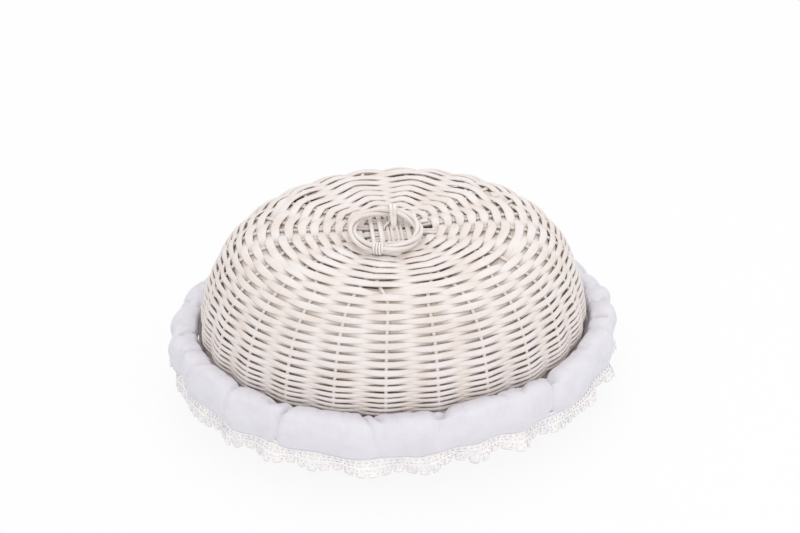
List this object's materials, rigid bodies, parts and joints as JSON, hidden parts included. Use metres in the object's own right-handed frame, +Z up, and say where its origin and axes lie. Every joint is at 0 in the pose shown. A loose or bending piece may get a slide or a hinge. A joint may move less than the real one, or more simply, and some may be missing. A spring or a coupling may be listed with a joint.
{
  "type": "lidded basket",
  "caption": "Oval wicker basket with a domed wicker lid, a ring handle, and a cotton liner whose gathered frill and lace edging cover the rim.",
  "frame": {"origin": "on the floor under the middle of the basket", "axes": "+X along the basket's length, -Y towards the front of the picture, +Z up"},
  "size_m": [0.388, 0.307, 0.1773],
  "materials": {
    "wicker": "whitewashed willow, matt to satin, grain along each rod",
    "cane": "split cane, satin",
    "cotton": "plain-woven white cotton, gathered",
    "elastic": "white cotton-covered elastic cord",
    "lace": "cream cotton crochet lace"
  },
  "bodies": {
    "basket": {"basket_rod_01": "wicker", "basket_rod_02": "wicker", "basket_rod_03": "wicker", "basket_rod_04": "wicker", "basket_rod_05": "wicker", "basket_rod_06": "wicker", "basket_rod_07": "wicker", "basket_rod_08": "wicker", "basket_rod_09": "wicker", "basket_rod_10": "wicker", "basket_rod_11": "wicker", "basket_rod_12": "wicker", "basket_cross_tie_1": "cane", "basket_cross_tie_2": "cane", "base_weaver_1": "wicker", "base_weaver_2": "wicker", "wall_weaver_1": "wicker", "wall_weaver_2": "wicker", "basket_rim": "wicker", "basket_foot": "wicker", "liner_bowl": "cotton", "liner_frill": "cotton", "liner_elastic": "elastic", "lace_edging": "lace"},
    "lid": {"lid_rod_01": "wicker", "lid_rod_02": "wicker", "lid_rod_03": "wicker", "lid_rod_04": "wicker", "lid_rod_05": "wicker", "lid_rod_06": "wicker", "lid_rod_07": "wicker", "lid_rod_08": "wicker", "lid_rod_09": "wicker", "lid_rod_10": "wicker", "lid_rod_11": "wicker", "lid_rod_12": "wicker", "lid_cross_tie_1": "cane", "lid_cross_tie_2": "cane", "crown_weaver_1": "wicker", "crown_weaver_2": "wicker", "side_weaver_1": "wicker", "side_weaver_2": "wicker", "lid_border": "wicker", "handle_loop": "cane"},
    "handle": {"handle_ring": "wicker", "handle_binding": "cane"}
  },
  "joints": [
    {"name": "lid_lift", "type": "slide", "parent": "basket", "child": "lid", "axis": [0, 0, 1], "range_m": [0, 0.18]},
    {"name": "handle_fold", "type": "hinge", "parent": "lid", "child": "handle", "pos_m": [0, 0.0115, 0.16912], "axis": [-0.9397, 0.342, 0], "range_deg": [0, 180]}
  ]
}
